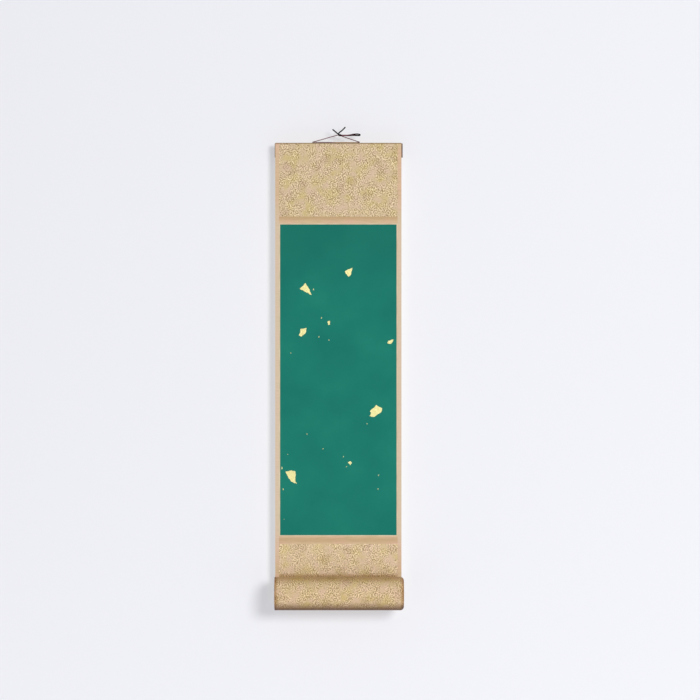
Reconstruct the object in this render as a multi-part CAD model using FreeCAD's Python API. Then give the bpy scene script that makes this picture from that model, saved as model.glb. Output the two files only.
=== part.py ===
import FreeCAD, Part
import math
import os

# A small hanging scroll with a blank sheet of green paper, ready to write or paint on.
# The paper is set in silk and brocade, backed with paper, hung from a stave and weighted by a roller.
# Millimetres. X runs across the scroll, its face looks along -Y and +Z is up.
# The origin is the top of the hanging cord, where a hook takes it.

# The sheet's height below the hook
cord_rise = 8.1

# The green paper and the pale strips that edge it
paper_width = 120.0
paper_height = 320.0
paper_thickness = 0.20
fillet_width = 1.0
fillet_thickness = 0.28

# Silk and brocade round the paper, and the paper that backs them all
border_width = 4.0
upper_brocade_height = 76.1
upper_band_height = 7.1
lower_band_height = 8.0
lower_brocade_height = 49.8
silk_thickness = 0.35
backing_thickness = 0.30
paste = 0.02

# Stave at the head: flat in front, round behind
stave_height = 15.0
stave_depth = 7.0
stave_corner = 1.2
stave_proud_left = 0.5
stave_proud_right = 1.2

# Roller at the foot, in front of the sheet that is glued round it
rod_diameter = 32.0
rod_proud_left = 0.2
rod_proud_right = 2.0
rod_end_round = 3.5
wrap_thickness = 0.35
wrap_lip_gap = 0.45
wrap_flap_height = 8.0
turn_end_gap = 1.6

# Eyelets that hold the cord: a wire ring on a shank, screwed into the top of the stave
eyelet_left = -25.5
eyelet_right = 20.8
eyelet_ring_radius = 0.90
eyelet_wire_radius = 0.25
eyelet_rise = 0.55
shank_radius = 0.35
shank_length = 6.0
shank_tip = 1.0
eyelet_fit = 0.03

# Cords and the knot
hanging_cord_diameter = 0.8
tie_cord_diameter = 1.3
knot_centre = FreeCAD.Vector(1.5, 0.0, -0.35)
knot_radius = 1.55
knot_depth = 4.2
knot_rounding = 1.2
knot_fit = 0.03
bend_share = 0.45

hanging_cord_route = [
    (1.5, 0.0, -0.60),
    (0.0, 0.0, 0.0),
    (-26.6, -0.3, -7.60),
    (-26.6, 1.5, -7.55),
    (-9.0, 1.40, -7.65),
    (6.5, 1.60, -7.66),
    (21.9, 1.5, -7.55),
    (21.9, -0.3, -7.60),
    (2.2, 0.0, -0.92),
]

tie_cord_route = [
    (-6.0, -0.7, 5.6),
    (-3.3, -1.0, 3.4),
    (0.9, -1.15, -0.4),
    (5.4, -1.15, -0.6),
    (10.8, -1.0, -0.5),
    (15.4, -0.95, 0.5),
    (19.4, -0.95, 0.85),
    (22.3, -0.95, 0.45),
    (22.3, 0.95, -0.65),
    (19.4, 0.95, -0.65),
    (15.6, 0.95, -0.35),
    (11.0, 1.0, -0.7),
    (5.6, 1.15, -0.75),
    (0.5, 1.15, -0.7),
    (0.1, 1.15, 1.9),
    (3.7, 0.9, 4.3),
    (7.3, 0.6, 8.1),
]

# Gold leaf on the paper. A place is a share of the paper's half width and half height from its middle,
# and an outline is in millimetres from that place.
leaf_thickness = 0.05
leaf_sides = 5
leaf_pieces = [
    ((0.187, 0.690), [(-5.0, 1.4), (3.7, 5.2), (1.9, -1.3), (-0.4, -4.9)]),
    ((-0.560, 0.586), [(0.2, 6.0), (-6.2, 0.0), (5.8, -6.4), (5.4, -4.1)]),
    ((-0.612, 0.306), [(-1.8, 3.4), (3.8, 4.3), (2.9, -0.7), (-1.2, -4.5), (-3.6, -3.9)]),
    ((-0.165, 0.368), [(-1.2, 1.5), (1.3, 2.6), (1.2, -1.6), (-0.6, -2.6)]),
    ((0.892, 0.243), [(-3.1, -1.6), (-2.2, 1.1), (3.8, 2.8), (0.5, -2.1)]),
    ((0.642, -0.202), [(0.8, 6.2), (6.8, 2.5), (5.4, -1.1), (-1.5, -5.8),
                       (-6.6, -5.4), (-4.7, -2.1), (-5.9, 0.2)]),
    ((-0.808, -0.624), [(-6.0, 5.3), (0.0, 6.6), (4.1, 5.3), (4.5, -4.9),
                        (5.5, -7.2), (0.4, -5.4), (-2.8, -1.2)]),
    ((0.198, -0.536), [(-1.9, 0.6), (0.2, 2.0), (2.1, 0.3), (0.3, -2.2)]),
]
leaf_specks = [
    ((-0.425, 0.581), 0.9),
    ((-0.288, 0.399), 0.8),
    ((-0.333, 0.276), 0.7),
    ((-0.160, 0.256), 0.8),
    ((-0.817, 0.172), 0.6),
    ((0.495, -0.283), 0.5),
    ((-0.537, -0.349), 0.8),
    ((-0.265, -0.444), 0.7),
    ((-0.870, -0.481), 0.5),
    ((0.088, -0.494), 0.7),
    ((0.137, -0.560), 0.6),
    ((-0.970, -0.568), 1.1),
    ((0.690, -0.616), 0.6),
    ((-0.948, -0.704), 0.8),
    ((0.682, -0.703), 0.7),
    ((-0.932, -0.897), 0.5),
]

# Places that follow from those sizes
column_width = paper_width + 2 * fillet_width
sheet_width = column_width + 2 * border_width
sheet_top = -cord_rise
upper_brocade_foot = sheet_top - upper_brocade_height
upper_band_foot = upper_brocade_foot - upper_band_height
paper_top = upper_band_foot - fillet_width
paper_foot = paper_top - paper_height
lower_band_top = paper_foot - fillet_width
lower_brocade_top = lower_band_top - lower_band_height
rod_height = lower_brocade_top - lower_brocade_height
paper_middle = (paper_top + paper_foot) / 2

rod_radius = rod_diameter / 2
rod_depth = -(rod_radius + silk_thickness + 2 * paste)
silk_turn = rod_radius + paste
backing_turn = silk_turn + silk_thickness + paste
wrap_turn = backing_turn + backing_thickness + paste
wrap_lip_angle = math.degrees(math.acos((silk_turn - wrap_lip_gap) / (wrap_turn + wrap_thickness)))
turn_end_angle = math.degrees(math.acos((silk_turn - turn_end_gap) / (backing_turn + backing_thickness)))

full_turn = 360

stave_face = backing_thickness + paste
silk_cover = backing_thickness + silk_thickness + 2 * paste
stave_arc_radius = (stave_height ** 2 / 4 + stave_depth ** 2) / (2 * stave_depth)
stave_arc_depth = stave_face + stave_depth - stave_arc_radius
corner_depth = stave_face + stave_corner
corner_reach = math.sqrt((stave_arc_radius - stave_corner) ** 2 - (corner_depth - stave_arc_depth) ** 2)
stave_middle = sheet_top - silk_cover - stave_corner - corner_reach


def yz(depth, height):
    return FreeCAD.Vector(0, depth, height)


def across(sections, start, end):
    """Sections drawn at X = 0, made into one solid from start to end."""
    slabs = []
    for section in sections:
        placed = section.translated(FreeCAD.Vector(start, 0, 0))
        slabs.append(placed.extrude(FreeCAD.Vector(end - start, 0, 0)))
    if len(slabs) == 1:
        return slabs[0]
    return slabs[0].multiFuse(slabs[1:]).removeSplitter()


def outline_face(edges):
    return Part.Face(Part.Wire(Part.__sortEdges__(edges)))


def strip(front, back, foot, top):
    return outline_face(Part.makePolygon([
        yz(front, foot), yz(back, foot), yz(back, top), yz(front, top), yz(front, foot)]).Edges)


def stave_section(grow):
    """The stave's flat-fronted section, with every side moved out by the given amount."""
    arc = stave_arc_radius + grow
    corner = stave_corner + grow
    lean = math.atan2(corner_reach, corner_depth - stave_arc_depth)
    half_lean = (lean + math.pi) / 2
    touch = yz(stave_arc_depth + arc * math.cos(lean), stave_middle + arc * math.sin(lean))
    bulge = yz(stave_arc_depth + arc, stave_middle)
    low_touch = yz(touch.y, 2 * stave_middle - touch.z)
    front_top = yz(stave_face - grow, stave_middle + corner_reach)
    front_foot = yz(stave_face - grow, stave_middle - corner_reach)
    corner_out = yz(corner_depth + corner * math.cos(half_lean),
                    stave_middle + corner_reach + corner * math.sin(half_lean))
    low_corner_out = yz(corner_out.y, 2 * stave_middle - corner_out.z)
    return outline_face([
        Part.LineSegment(front_foot, front_top).toShape(),
        Part.Arc(front_top, corner_out, touch).toShape(),
        Part.Arc(touch, bulge, low_touch).toShape(),
        Part.Arc(low_touch, low_corner_out, front_foot).toShape(),
    ])


def round_rod(inner, outer, from_angle, to_angle):
    """A curved strip about the rod's axis; angles in degrees go up from straight back and on over."""
    def on_turn(radius, angle):
        turn = math.radians(angle)
        return yz(rod_depth + radius * math.cos(turn), rod_height + radius * math.sin(turn))
    middle = (from_angle + to_angle) / 2
    return outline_face([
        Part.Arc(on_turn(outer, from_angle), on_turn(outer, middle), on_turn(outer, to_angle)).toShape(),
        Part.LineSegment(on_turn(outer, to_angle), on_turn(inner, to_angle)).toShape(),
        Part.Arc(on_turn(inner, to_angle), on_turn(inner, middle), on_turn(inner, from_angle)).toShape(),
        Part.LineSegment(on_turn(inner, from_angle), on_turn(outer, from_angle)).toShape(),
    ])


def silk_front(foot, top):
    return strip(-paste - silk_thickness, -paste, foot, top)


def silk_over_stave(foot):
    """Silk up the front, over the stave and down behind it to the backing."""
    outer = stave_section(silk_cover)
    inner = stave_section(backing_thickness + 2 * paste)
    cover = outer.cut(inner)
    reach = 2 * stave_height
    behind = strip(stave_face, reach, stave_middle - reach, stave_middle + reach)
    above = strip(-reach, reach, stave_middle, stave_middle + reach)
    cover = cover.common(behind.fuse(above))
    return cover.Faces + [silk_front(foot, stave_middle)]


def silk_round_rod(top):
    """Silk down the front of the sheet and round the rod."""
    turn = round_rod(silk_turn, silk_turn + silk_thickness, turn_end_angle, full_turn)
    return [silk_front(rod_height, top), turn]


def eyelet(place, grow):
    """A ring of wire across the cord, on a pointed shank; grow gives the hole that takes it."""
    centre = FreeCAD.Vector(place, corner_depth, sheet_top + eyelet_rise)
    ring = Part.makeTorus(eyelet_ring_radius, eyelet_wire_radius + grow, centre, FreeCAD.Vector(1, 0, 0))
    root = centre + FreeCAD.Vector(0, 0, -eyelet_ring_radius)
    down = FreeCAD.Vector(0, 0, -1)
    shank = Part.makeCylinder(shank_radius + grow, shank_length, root, down)
    tip = Part.makeCone(shank_radius + grow, grow / 2, shank_tip, root + down * shank_length, down)
    return ring.multiFuse([shank, tip])


def with_eyelet_holes(solid):
    for place in (eyelet_left, eyelet_right):
        solid = solid.cut(eyelet(place, eyelet_fit))
    return solid


def cord_path(points):
    """Straight runs joined by arcs, each as wide as the shorter of its two runs allows."""
    corners = [FreeCAD.Vector(*point) for point in points]
    edges = []
    radii = []
    start = corners[0]
    for before, corner, after in zip(corners, corners[1:], corners[2:]):
        back = before - corner
        ahead = after - corner
        setback = bend_share * min(back.Length, ahead.Length)
        half_turn = (math.pi - back.getAngle(ahead)) / 2
        back.normalize()
        ahead.normalize()
        radius = setback / math.tan(half_turn)
        inward = (back + ahead).normalize()
        crown = corner + inward * (radius / math.cos(half_turn) - radius)
        arc_start = corner + back * setback
        arc_end = corner + ahead * setback
        edges.append(Part.LineSegment(start, arc_start).toShape())
        edges.append(Part.Arc(arc_start, crown, arc_end).toShape())
        radii.append(radius)
        start = arc_end
    edges.append(Part.LineSegment(start, corners[-1]).toShape())
    return Part.Wire(edges), radii


def cord(points, diameter):
    path = cord_path(points)[0]
    first = FreeCAD.Vector(*points[0])
    heading = FreeCAD.Vector(*points[1]) - first
    ring = Part.Wire(Part.makeCircle(diameter / 2, first, heading))
    return path.makePipeShell([ring], True, False)


def print_cord(name, points, diameter, tube):
    path, radii = cord_path(points)
    section = math.pi * diameter ** 2 / 4
    print(name, "length", round(path.Length, 2), "bend radii", [round(radius, 2) for radius in radii])
    print(name, "volume over section by length", round(tube.Volume / (section * path.Length), 4))


def leaf_plate(outline):
    """A thin plate of leaf on the paper's face, from points in X and Z."""
    front = -paste - paper_thickness - leaf_thickness
    corners = [FreeCAD.Vector(x, front, z) for x, z in outline]
    face = Part.Face(Part.makePolygon(corners + corners[:1]))
    return face.extrude(FreeCAD.Vector(0, leaf_thickness, 0))


def leaf_place(shares):
    return shares[0] * paper_width / 2, paper_middle + shares[1] * paper_height / 2


def gold_leaf():
    plates = []
    for shares, outline in leaf_pieces:
        x, z = leaf_place(shares)
        plates.append(leaf_plate([(x + dx, z + dz) for dx, dz in outline]))
    for shares, size in leaf_specks:
        x, z = leaf_place(shares)
        turns = [2 * math.pi * side / leaf_sides for side in range(leaf_sides)]
        outline = [(x + size * math.cos(turn) / 2, z + size * math.sin(turn)) for turn in turns]
        plates.append(leaf_plate(outline))
    return Part.makeCompound(plates)


def flat_panel(width_from, width_to, foot, top, thickness):
    return across([strip(-paste - thickness, -paste, foot, top)], width_from, width_to)


half_paper = paper_width / 2
half_column = column_width / 2
half_sheet = sheet_width / 2
roller_left = -half_sheet - rod_proud_left
roller_right = half_sheet + rod_proud_right

parts = {}

parts["green_paper"] = flat_panel(-half_paper, half_paper, paper_foot, paper_top, paper_thickness)
parts["gold_leaf"] = gold_leaf()

parts["left_fillet_strip"] = flat_panel(-half_column, -half_paper, paper_foot, paper_top, fillet_thickness)
parts["right_fillet_strip"] = flat_panel(half_paper, half_column, paper_foot, paper_top, fillet_thickness)
parts["upper_fillet_strip"] = flat_panel(
    -half_column, half_column, paper_top, upper_band_foot, fillet_thickness)
parts["lower_fillet_strip"] = flat_panel(
    -half_column, half_column, lower_band_top, paper_foot, fillet_thickness)

parts["upper_silk_band"] = flat_panel(
    -half_column, half_column, upper_band_foot, upper_brocade_foot, silk_thickness)
parts["lower_silk_band"] = flat_panel(
    -half_column, half_column, lower_brocade_top, lower_band_top, silk_thickness)

head = silk_over_stave(upper_brocade_foot)
foot = silk_round_rod(lower_brocade_top)
parts["upper_brocade_panel"] = with_eyelet_holes(across(head, -half_column, half_column))
parts["lower_brocade_panel"] = across(foot, -half_column, half_column)

border = silk_over_stave(lower_brocade_top) + foot
parts["left_silk_border"] = across(border, -half_sheet, -half_column)
parts["right_silk_border"] = across(border, half_column, half_sheet)

sleeve = stave_section(backing_thickness + paste).cut(stave_section(paste))
backing = sleeve.Faces + [
    strip(0, backing_thickness, rod_height, stave_middle),
    round_rod(backing_turn, backing_turn + backing_thickness, turn_end_angle, full_turn),
]
parts["backing_paper"] = with_eyelet_holes(across(backing, -half_sheet, half_sheet))

stave = across([stave_section(0)], -half_sheet - stave_proud_left, half_sheet + stave_proud_right)
parts["top_stave"] = with_eyelet_holes(stave)
parts["left_eyelet"] = eyelet(eyelet_left, 0)
parts["right_eyelet"] = eyelet(eyelet_right, 0)

rod_foot = FreeCAD.Vector(roller_left, rod_depth, rod_height)
rod = Part.makeCylinder(rod_radius, roller_right - roller_left, rod_foot, FreeCAD.Vector(1, 0, 0))
rod_rims = [edge for edge in rod.Edges if edge.isClosed()]
parts["roller_rod"] = rod.makeFillet(rod_end_round, rod_rims)
flap_front = rod_depth + wrap_turn
wrap = [
    round_rod(wrap_turn, wrap_turn + wrap_thickness, wrap_lip_angle, full_turn),
    strip(flap_front, flap_front + wrap_thickness, rod_height, rod_height + wrap_flap_height),
]
parts["roller_wrap"] = across(wrap, roller_left, roller_right)

hanging_cord = cord(hanging_cord_route, hanging_cord_diameter)
tie_cord = cord(tie_cord_route, tie_cord_diameter)
parts["hanging_cord"] = hanging_cord
parts["tie_cord"] = tie_cord
print_cord("hanging_cord", hanging_cord_route, hanging_cord_diameter, hanging_cord)
print_cord("tie_cord", tie_cord_route, tie_cord_diameter, tie_cord)

toward_back = FreeCAD.Vector(0, 1, 0)
knot = Part.makeCylinder(knot_radius, knot_depth, knot_centre - toward_back * knot_depth / 2, toward_back)
knot = knot.makeFillet(knot_rounding, [edge for edge in knot.Edges if edge.isClosed()])
knot = knot.cut(cord(hanging_cord_route, hanging_cord_diameter + 2 * knot_fit))
parts["tie_knot"] = knot.cut(cord(tie_cord_route, tie_cord_diameter + 2 * knot_fit))

os.makedirs("parts", exist_ok=True)
for name, shape in parts.items():
    print(name, "solids", len(shape.Solids), "volume", round(shape.Volume, 2), "valid", shape.isValid())
    shape.exportStep("parts/" + name + ".step")
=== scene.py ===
import bmesh
import bpy
import math
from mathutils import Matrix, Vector


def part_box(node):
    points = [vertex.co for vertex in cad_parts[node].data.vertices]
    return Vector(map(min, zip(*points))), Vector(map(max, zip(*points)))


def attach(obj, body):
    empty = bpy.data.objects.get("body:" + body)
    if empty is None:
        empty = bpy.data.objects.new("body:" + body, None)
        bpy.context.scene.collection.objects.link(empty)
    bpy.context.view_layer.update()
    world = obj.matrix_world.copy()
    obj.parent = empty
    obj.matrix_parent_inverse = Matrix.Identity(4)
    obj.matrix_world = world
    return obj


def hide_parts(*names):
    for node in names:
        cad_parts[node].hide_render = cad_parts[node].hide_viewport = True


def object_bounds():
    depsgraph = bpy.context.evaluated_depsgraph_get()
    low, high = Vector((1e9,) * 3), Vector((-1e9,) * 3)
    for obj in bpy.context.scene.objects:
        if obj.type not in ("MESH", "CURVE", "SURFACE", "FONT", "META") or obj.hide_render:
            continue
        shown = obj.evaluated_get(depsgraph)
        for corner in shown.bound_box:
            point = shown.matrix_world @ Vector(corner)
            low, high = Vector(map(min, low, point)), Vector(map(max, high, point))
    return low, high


# A small hanging scroll: blank green paper with gold leaf, set in tan silk and brocade.
# Everything is in metres. X runs across, the face looks along -Y, and the hook is the origin.

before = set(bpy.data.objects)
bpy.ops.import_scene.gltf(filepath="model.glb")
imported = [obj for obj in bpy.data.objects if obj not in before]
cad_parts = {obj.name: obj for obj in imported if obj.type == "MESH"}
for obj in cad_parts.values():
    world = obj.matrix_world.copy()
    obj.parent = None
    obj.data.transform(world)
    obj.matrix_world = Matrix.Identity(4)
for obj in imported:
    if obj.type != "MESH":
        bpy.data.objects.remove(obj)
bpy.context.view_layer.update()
print("scroll: frame loaded")

# Places that the pieces share, read from the frame
mm = 0.001
tiny = 1e-6
smoothBelow = math.radians(50)  # sharper edges than this stay sharp
staveLow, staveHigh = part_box("top_stave")
rodLow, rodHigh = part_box("roller_rod")
sheetLow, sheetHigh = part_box("backing_paper")
columnLow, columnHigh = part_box("upper_silk_band")
footLow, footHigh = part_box("lower_silk_band")
paperLow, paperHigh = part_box("green_paper")
filletLow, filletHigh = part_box("upper_fillet_strip")
wrapLow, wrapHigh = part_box("roller_wrap")
rodY = (rodLow.y + rodHigh.y) / 2
rodZ = (rodLow.z + rodHigh.z) / 2
rodRadius = (rodHigh.z - rodLow.z) / 2
paste = -columnHigh.y

# Middle of each layer's thickness, counted back from the face
silkDepth = (columnLow.y + columnHigh.y) / 2
paperDepth = (paperLow.y + paperHigh.y) / 2
filletDepth = (filletLow.y + filletHigh.y) / 2
backingDepth = (columnHigh.y + staveLow.y) / 2
silkThick = columnHigh.y - columnLow.y
paperThick = paperHigh.y - paperLow.y
filletThick = filletHigh.y - filletLow.y
backingThick = staveLow.y - columnHigh.y - 2 * paste

# The stave's section: flat in front, a long arc behind, and two small corners
staveCorner = 1.2 * mm
staveZ = (staveLow.z + staveHigh.z) / 2
cornerY = staveLow.y + staveCorner
cornerReach = staveHigh.z - staveZ - staveCorner
arcSpare = cornerY - staveHigh.y
arcRadius = (cornerReach ** 2 + arcSpare ** 2 - staveCorner ** 2) / (-2 * (staveCorner + arcSpare))
arcY = staveHigh.y - arcRadius
arcLean = math.atan2(cornerReach, cornerY - arcY)
foldZ = staveZ + cornerReach


# Helpers for modelling by operators

def onlySelect(piece=None):
    bpy.ops.object.select_all(action="DESELECT")
    if piece:
        piece.select_set(True)
        bpy.context.view_layer.objects.active = piece


def startEdit(piece):
    onlySelect(piece)
    bpy.ops.object.mode_set(mode="EDIT")
    bpy.ops.mesh.select_all(action="DESELECT")


def endEdit():
    bpy.ops.object.mode_set(mode="OBJECT")


def pick(kind, test):  # kind is VERT, EDGE or FACE, and test is given the corners
    bpy.ops.mesh.select_mode(type=kind)
    bpy.ops.mesh.select_all(action="DESELECT")
    shape = bmesh.from_edit_mesh(bpy.context.object.data)
    for part in {"VERT": shape.verts, "EDGE": shape.edges, "FACE": shape.faces}[kind]:
        corners = [part.co] if kind == "VERT" else [corner.co for corner in part.verts]
        if test(corners):
            part.select_set(True)
    bmesh.update_edit_mesh(bpy.context.object.data)


def named(name):
    piece = bpy.context.object
    piece.name = name
    piece.data.name = name
    return piece


def modify(piece, kind, **settings):
    onlySelect(piece)
    bpy.ops.object.modifier_add(type=kind)
    modifier = piece.modifiers[-1]
    for setting, value in settings.items():
        setattr(modifier, setting, value)
    bpy.ops.object.modifier_apply(modifier=modifier.name)


def weigh(piece, name, weightAt):
    group = piece.vertex_groups.new(name=name)
    for vertex in piece.data.vertices:
        group.add([vertex.index], weightAt(vertex.co), "REPLACE")
    return name


def smoothStep(low, high, value):
    share = min(1.0, max(0.0, (value - low) / (high - low)))
    return share * share * (3 - 2 * share)


# Camera, straight on at the middle of the view, a little right of the scroll

camera = {"distance": 3.0, "viewWidth": 0.721, "right": 12 * mm, "height": -221.6 * mm, "sensor": 36.0}


def addCamera():
    place = (camera["right"], -camera["distance"], camera["height"])
    bpy.ops.object.camera_add(location=place, rotation=(math.pi / 2, 0, 0))
    lens = bpy.context.object.data
    lens.sensor_width = camera["sensor"]
    lens.lens = camera["sensor"] * camera["distance"] / camera["viewWidth"]
    lens.clip_start = 0.1
    lens.clip_end = 50
    bpy.context.scene.camera = bpy.context.object


addCamera()
print("scroll: camera placed")


# Materials. Cloth and paper read a map in metres: U across the scroll, V up along the cloth.

def srgb(red, green, blue):
    def linear(level):
        level = level / 255
        return level / 12.92 if level <= 0.04045 else ((level + 0.055) / 1.055) ** 2.4
    return (linear(red), linear(green), linear(blue), 1.0)


class Finish:
    nodesInRow = 9
    nodeGap = (260, 200)

    def __init__(self, name, roughness, **fixed):
        self.material = bpy.data.materials.new(name)
        self.material.use_nodes = True
        self.tree = self.material.node_tree
        self.shader = self.tree.nodes["Principled BSDF"]
        self.shader.inputs["Roughness"].default_value = roughness
        for socket, value in fixed.items():
            self.shader.inputs[socket.replace("_", " ")].default_value = value
        self.made = 0

    def node(self, kind, inputs=None, **settings):
        made = self.tree.nodes.new("ShaderNode" + kind)
        self.made += 1
        row, column = divmod(self.made, self.nodesInRow)
        made.location = (-self.nodeGap[0] * (column + 1), -self.nodeGap[1] * row)
        for setting, value in settings.items():
            setattr(made, setting, value)
        for socket, value in (inputs or {}).items():
            if isinstance(value, bpy.types.NodeSocket):
                self.tree.links.new(value, made.inputs[socket])
            else:
                made.inputs[socket].default_value = value
        return made

    def math(self, operation, first, second=0.0, third=0.0, clamp=False):
        made = self.node("Math", {0: first, 1: second, 2: third}, operation=operation, use_clamp=clamp)
        return made.outputs[0]

    def vector(self, operation, first, second=(0, 0, 0)):
        made = self.node("VectorMath", {0: first, 1: second}, operation=operation)
        return made.outputs["Value" if operation in ("LENGTH", "DISTANCE", "DOT_PRODUCT") else "Vector"]

    def scaled(self, source, factor):
        return self.node("VectorMath", {0: source, "Scale": factor}, operation="SCALE").outputs["Vector"]

    def cloth(self):  # the cloth map, in millimetres
        return self.scaled(self.node("UVMap", uv_map="clothMap").outputs["UV"], 1000)

    def solid(self):  # places in the piece, in millimetres
        return self.scaled(self.node("TexCoord").outputs["Object"], 1000)

    def split(self, source):
        return self.node("SeparateXYZ", {0: source}).outputs

    def noise(self, source, size, detail=2.0, rough=0.5, stretch=(1, 1, 1), colour=False):
        placed = self.vector("MULTIPLY", source, stretch)
        settings = {"Vector": placed, "Scale": 1 / size, "Detail": detail, "Roughness": rough}
        made = self.node("TexNoise", settings)
        return made.outputs["Color" if colour else "Fac"]

    def between(self, value, low, high, start=0.0, end=1.0):
        made = self.node("MapRange", {0: value, 1: low, 2: high, 3: start, 4: end}, clamp=True)
        return made.outputs[0]

    def mix(self, share, first, second, blend="MIX"):
        made = self.node("Mix", data_type="RGBA", blend_type=blend)
        for socket, value in ((0, share), (6, first), (7, second)):
            if isinstance(value, bpy.types.NodeSocket):
                self.tree.links.new(value, made.inputs[socket])
            else:
                made.inputs[socket].default_value = value
        return made.outputs[2]

    def waves(self, along, spacing):  # from 0 to 1 and back in each spacing
        turn = self.math("MULTIPLY", along, 2 * math.pi / spacing)
        return self.math("MULTIPLY_ADD", self.math("SINE", turn), 0.5, 0.5)

    def bump(self, height, depth, below=None):  # depth in metres
        made = self.node("Bump", {"Height": height, "Distance": depth, "Strength": 1.0})
        if below:
            self.tree.links.new(below, made.inputs["Normal"])
        return made.outputs["Normal"]

    def use(self, **sockets):
        for socket, source in sockets.items():
            self.tree.links.new(source, self.shader.inputs[socket.replace("_", " ")])
        return self.material


def weave(finish, place, spacing):  # plain weave: over and under in both directions
    across = finish.waves(finish.split(place)[0], spacing)
    along = finish.waves(finish.split(place)[1], spacing)
    return finish.math("ABSOLUTE", finish.math("SUBTRACT", across, along))


def shadeLines(finish, height, lines, colour):
    # Each line runs across the cloth, and its colour is full at the core and gone beyond its reach
    for line in lines:
        off = finish.math("ABSOLUTE", finish.math("SUBTRACT", height, line["at"]))
        near = finish.between(off, line["reach"], line["reach"] * line["core"], 0.0, line["share"])
        colour = finish.mix(near, colour, line["colour"], line.get("blend", "MIX"))
    return colour


# In the looks below, sizes are in millimetres and depths of relief in metres. A range is the part of a
# noise over which one colour gives way to the next, and a share is how far it does.

greenPaint = {
    "green": srgb(29, 125, 107),
    "deep": srgb(21, 115, 100),
    "light": srgb(41, 132, 114),
    "cloudSize": 45.0,
    "cloudRange": (0.35, 0.7),
    "fibreSize": 0.7,
    "fibreStretch": (0.22, 1, 1),
    "fibreRange": (0.55, 0.8),
    "fibreShare": 0.35,
    "laidGap": 1.4,            # from one laid line of the paper to the next
    "laidShare": 0.08,
    "fibreDepth": 0.02 * mm,
}
headShade = {"at": 1000 * (paperHigh.z - rodZ), "reach": 75.0, "core": 0.3, "share": 0.55,
             "colour": srgb(22, 108, 94)}


def greenPaperFinish():
    finish = Finish("greenPaper", 0.9, Specular_IOR_Level=0.15)
    place = finish.cloth()
    clouds = finish.noise(place, greenPaint["cloudSize"], 3.0)
    fibres = finish.noise(place, greenPaint["fibreSize"], 4.0, 0.6, greenPaint["fibreStretch"])
    laid = finish.waves(finish.split(place)[1], greenPaint["laidGap"])
    colour = finish.mix(finish.between(clouds, *greenPaint["cloudRange"]), greenPaint["deep"],
                        greenPaint["green"])
    lit = finish.between(fibres, *greenPaint["fibreRange"], 0.0, greenPaint["fibreShare"])
    colour = finish.mix(lit, colour, greenPaint["light"])
    colour = finish.mix(finish.math("MULTIPLY", laid, greenPaint["laidShare"]), colour, greenPaint["deep"])
    colour = shadeLines(finish, finish.split(place)[1], [headShade], colour)
    height = finish.math("MULTIPLY_ADD", laid, 0.15, fibres)
    return finish.use(Base_Color=colour, Normal=finish.bump(height, greenPaint["fibreDepth"]))


paleStrip = {
    "pale": srgb(222, 204, 172),
    "dull": srgb(203, 186, 152),
    "cloudSize": 14.0,
    "cloudRange": (0.35, 0.65),
    "fibreSize": 0.5,
    "fibreDepth": 0.02 * mm,
}


def palePaperFinish():
    finish = Finish("palePaper", 0.8, Specular_IOR_Level=0.3)
    place = finish.cloth()
    clouds = finish.noise(place, paleStrip["cloudSize"], 3.0)
    fibres = finish.noise(place, paleStrip["fibreSize"], 3.0)
    colour = finish.mix(finish.between(clouds, *paleStrip["cloudRange"]), paleStrip["dull"],
                        paleStrip["pale"])
    return finish.use(Base_Color=colour, Normal=finish.bump(fibres, paleStrip["fibreDepth"]))


silkLook = {
    "tan": srgb(212, 185, 145),
    "shade": srgb(193, 164, 125),
    "pink": srgb(220, 181, 152),
    # painted shade for the bands' join with the brocade and the lower band's middle
    "paintedShade": srgb(186, 155, 110),
    # a lighter tone for the silk beside the paper
    "paler": srgb(214, 203, 182),
    "cloudSize": 30.0,
    "cloudRange": (0.4, 0.62),
    "slubSize": 1.3,           # thick places in the weft, drawn out sideways
    "slubStretch": (0.1, 1, 1),
    "slubRange": (0.45, 0.75),
    "slubShare": 0.9,
    "thread": 0.34,
    "threadShare": 0.25,
    "threadDepth": 0.03 * mm,
}


def silkFinish(name, lines):
    finish = Finish(name, 0.62, Specular_IOR_Level=0.3, Sheen_Weight=0.15, Sheen_Roughness=0.4)
    place = finish.cloth()
    clouds = finish.noise(place, silkLook["cloudSize"], 2.0)
    slubs = finish.noise(place, silkLook["slubSize"], 3.0, 0.6, silkLook["slubStretch"])
    threads = weave(finish, place, silkLook["thread"])
    colour = finish.mix(finish.between(clouds, *silkLook["cloudRange"]), silkLook["tan"], silkLook["pink"])
    thickened = finish.between(slubs, *silkLook["slubRange"], 0.0, silkLook["slubShare"])
    colour = finish.mix(thickened, colour, silkLook["shade"])
    woven = finish.math("MULTIPLY", threads, silkLook["threadShare"])
    colour = finish.mix(woven, colour, silkLook["shade"])
    colour = shadeLines(finish, finish.split(place)[1], lines, colour)
    height = finish.math("MULTIPLY_ADD", slubs, 0.8, threads)
    return finish.use(Base_Color=colour, Normal=finish.bump(height, silkLook["threadDepth"]))


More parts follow.
